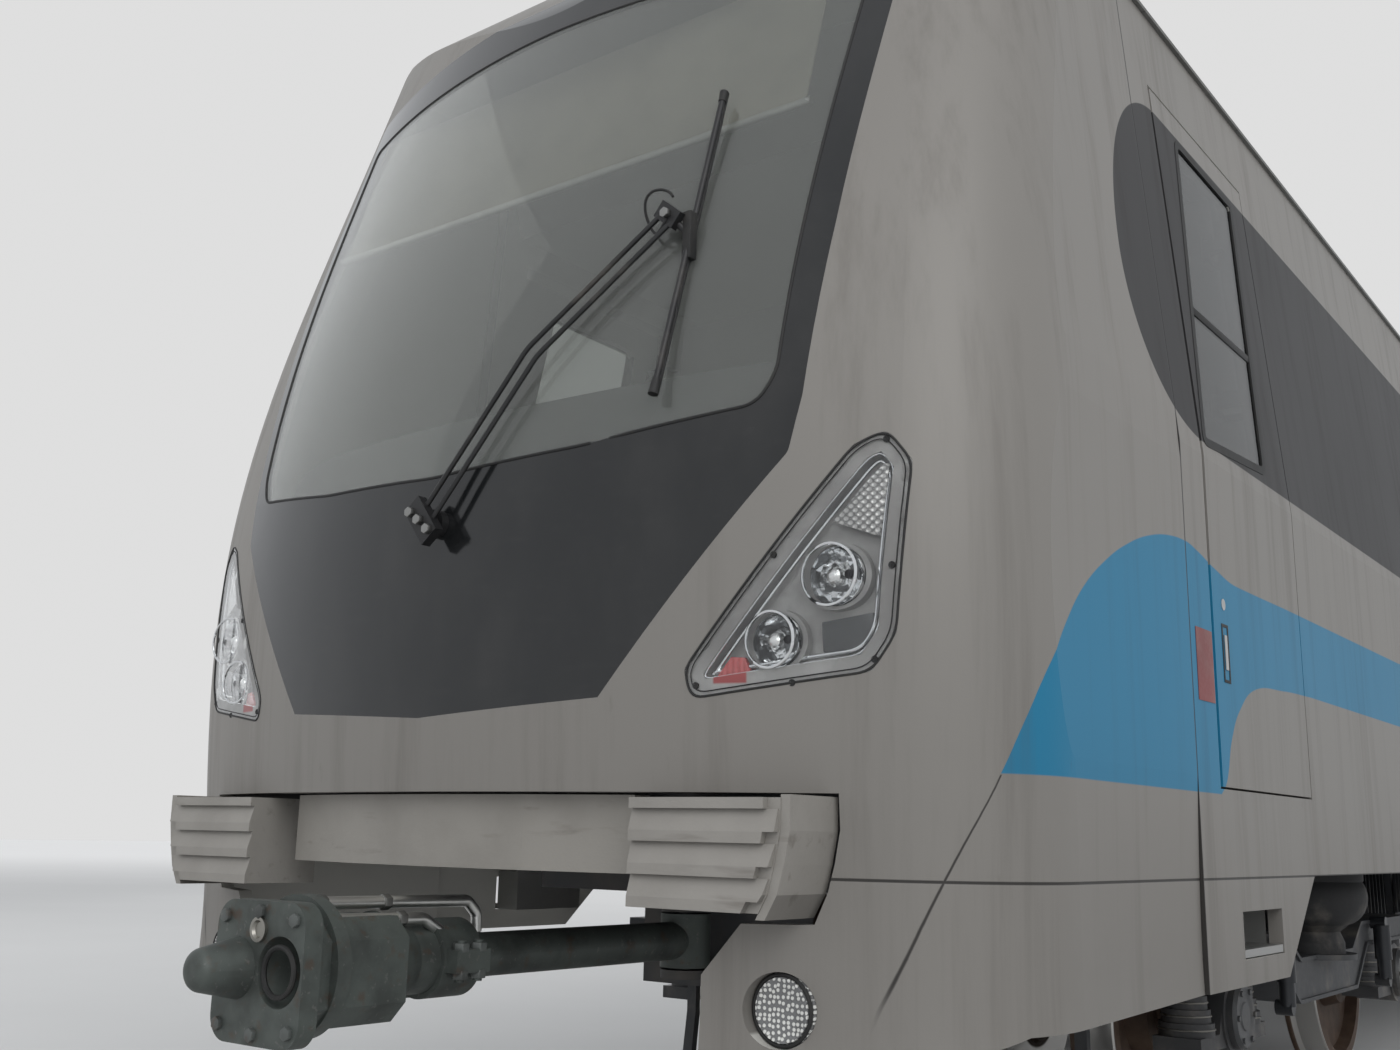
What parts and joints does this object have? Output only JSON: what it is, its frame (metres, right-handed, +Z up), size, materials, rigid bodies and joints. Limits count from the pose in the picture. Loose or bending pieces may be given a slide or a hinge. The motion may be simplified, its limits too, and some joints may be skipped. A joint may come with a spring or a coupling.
{
  "type": "metro cab car",
  "caption": "Driving end car of a metro train with raked windscreen, pocket sliding doors, side cab doors, open rear gangway and two swivelling bogies.",
  "frame": {"origin": "centre of the footprint at the bottom of the wheel flanges, midway between the coupler's cone tip and the rear flange", "axes": "+Y towards the rear of the car (the cab faces -Y), +Z up, +X to the right of someone who looks along +Y"},
  "size_m": [2.8, 20.32, 3.828],
  "materials": {
    "body_paint": "satin silver-grey",
    "black_panel": "gloss",
    "tinted_glass": "polished",
    "clear_lens": "polished",
    "lamp_reflector": "polished",
    "lamp_white": "gloss",
    "anti_climber_paint": "worn satin",
    "rubber_black": "matt",
    "interior_panel": "satin",
    "desk_grey": "textured matt",
    "seat_fabric": "woven",
    "seat_metal": "satin",
    "bench_shell": "satin",
    "stainless": "brushed",
    "underframe_paint": "matt, dusty",
    "equipment_paint": "matt, dusty",
    "roof_paint": "matt, weathered",
    "bogie_paint": "matt, dusty",
    "wheel_steel": "rolled tread, rusty web",
    "coupler_iron": "worn, greasy"
  },
  "bodies": {
    "carbody": {"cab_shell": "body_paint", "front_mask": "black_panel", "windscreen": "tinted_glass", "headlamp_lenses": "clear_lens", "headlamp_trays": "lamp_reflector", "anti_climbers": "anti_climber_paint", "front_apron": "anti_climber_paint", "cab_skirt": "body_paint", "skirt_lamps": "lamp_white", "cab_steps": "underframe_paint", "cab_side_walls": "body_paint", "side_wall_right": "body_paint", "side_wall_left": "body_paint", "door_portals": "body_paint", "side_windows": "tinted_glass", "roof": "roof_paint", "ac_units": "roof_paint", "underframe": "underframe_paint", "bolsters": "underframe_paint", "draft_gear": "underframe_paint", "rear_end_wall": "interior_panel", "gangway": "rubber_black", "cab_partition": "interior_panel", "driver_desk": "desk_grey", "driver_seat_cushions": "seat_fabric", "driver_seat_base": "seat_metal", "benches": "bench_shell", "grab_poles": "stainless", "inverter_case": "equipment_paint", "battery_box": "equipment_paint", "air_supply": "equipment_paint", "wiper": "rubber_black"},
    "bogie_front": {"bogie_frame_front": "bogie_paint", "axleboxes_front": "bogie_paint", "air_springs_front": "rubber_black"},
    "bogie_rear": {"bogie_frame_rear": "bogie_paint", "axleboxes_rear": "bogie_paint", "air_springs_rear": "rubber_black"},
    "front_coupler": {"front_coupler": "coupler_iron"},
    "rear_drawbar": {"rear_drawbar": "coupler_iron"},
    "cab_door_right": {"cab_door_right": "body_paint", "cab_door_right_pane": "tinted_glass"},
    "cab_door_left": {"cab_door_left": "body_paint", "cab_door_left_pane": "tinted_glass"},
    "cab_inner_door": {"cab_inner_door": "interior_panel"},
    "wheelset_1": {"wheelset_1": "wheel_steel"},
    "wheelset_2": {"wheelset_2": "wheel_steel"},
    "wheelset_3": {"wheelset_3": "wheel_steel"},
    "wheelset_4": {"wheelset_4": "wheel_steel"},
    "doors_right_front": {"passenger_doors_right_front": "body_paint", "passenger_door_glass_right_front": "tinted_glass"},
    "doors_right_rear": {"passenger_doors_right_rear": "body_paint", "passenger_door_glass_right_rear": "tinted_glass"},
    "doors_left_front": {"passenger_doors_left_front": "body_paint", "passenger_door_glass_left_front": "tinted_glass"},
    "doors_left_rear": {"passenger_doors_left_rear": "body_paint", "passenger_door_glass_left_rear": "tinted_glass"}
  },
  "joints": [
    {"name": "bogie_front_yaw", "type": "hinge", "parent": "carbody", "child": "bogie_front", "pos_m": [0, -5.9, 0.578], "axis": [0, 0, 1], "range_deg": [-5, 5]},
    {"name": "bogie_rear_yaw", "type": "hinge", "parent": "carbody", "child": "bogie_rear", "pos_m": [0, 6.7, 0.578], "axis": [0, 0, 1], "range_deg": [-5, 5]},
    {"name": "wheelset_1_spin", "type": "hinge", "parent": "bogie_front", "child": "wheelset_1", "pos_m": [0, -7.05, 0.448], "axis": [1, 0, 0], "continuous": true},
    {"name": "wheelset_2_spin", "type": "hinge", "parent": "bogie_front", "child": "wheelset_2", "pos_m": [0, -4.75, 0.448], "axis": [1, 0, 0], "continuous": true},
    {"name": "wheelset_3_spin", "type": "hinge", "parent": "bogie_rear", "child": "wheelset_3", "pos_m": [0, 5.55, 0.448], "axis": [1, 0, 0], "continuous": true},
    {"name": "wheelset_4_spin", "type": "hinge", "parent": "bogie_rear", "child": "wheelset_4", "pos_m": [0, 7.85, 0.448], "axis": [1, 0, 0], "continuous": true},
    {"name": "front_coupler_swing", "type": "hinge", "parent": "carbody", "child": "front_coupler", "pos_m": [0, -8.6, 0.688], "axis": [0, 0, 1], "range_deg": [-20, 20]},
    {"name": "rear_drawbar_swing", "type": "hinge", "parent": "carbody", "child": "rear_drawbar", "pos_m": [0, 8.75, 0.688], "axis": [0, 0, 1], "range_deg": [-12, 12]},
    {"name": "cab_door_right_hinge", "type": "hinge", "parent": "carbody", "child": "cab_door_right", "pos_m": [1.186, -7.316, 1.128], "axis": [0, 0, 1], "range_deg": [-80, 0]},
    {"name": "cab_door_left_hinge", "type": "hinge", "parent": "carbody", "child": "cab_door_left", "pos_m": [-1.186, -7.316, 1.128], "axis": [0, 0, 1], "range_deg": [0, 80]},
    {"name": "cab_inner_door_hinge", "type": "hinge", "parent": "carbody", "child": "cab_inner_door", "pos_m": [-0.352, -7.118, 1.128], "axis": [0, 0, 1], "range_deg": [0, 85]},
    {"name": "doors_right_front_slide", "type": "slide", "parent": "carbody", "child": "doors_right_front", "axis": [0, -1, 0], "range_m": [0, 0.64]},
    {"name": "doors_right_rear_slide", "type": "slide", "parent": "carbody", "child": "doors_right_rear", "axis": [0, 1, 0], "range_m": [0, 0.64]},
    {"name": "doors_left_front_slide", "type": "slide", "parent": "carbody", "child": "doors_left_front", "axis": [0, -1, 0], "range_m": [0, 0.64]},
    {"name": "doors_left_rear_slide", "type": "slide", "parent": "carbody", "child": "doors_left_rear", "axis": [0, 1, 0], "range_m": [0, 0.64]}
  ],
  "couplings": [
    {"joint": "doors_right_rear_slide", "follows": "doors_right_front_slide", "ratio": 1},
    {"joint": "doors_left_rear_slide", "follows": "doors_left_front_slide", "ratio": 1}
  ]
}
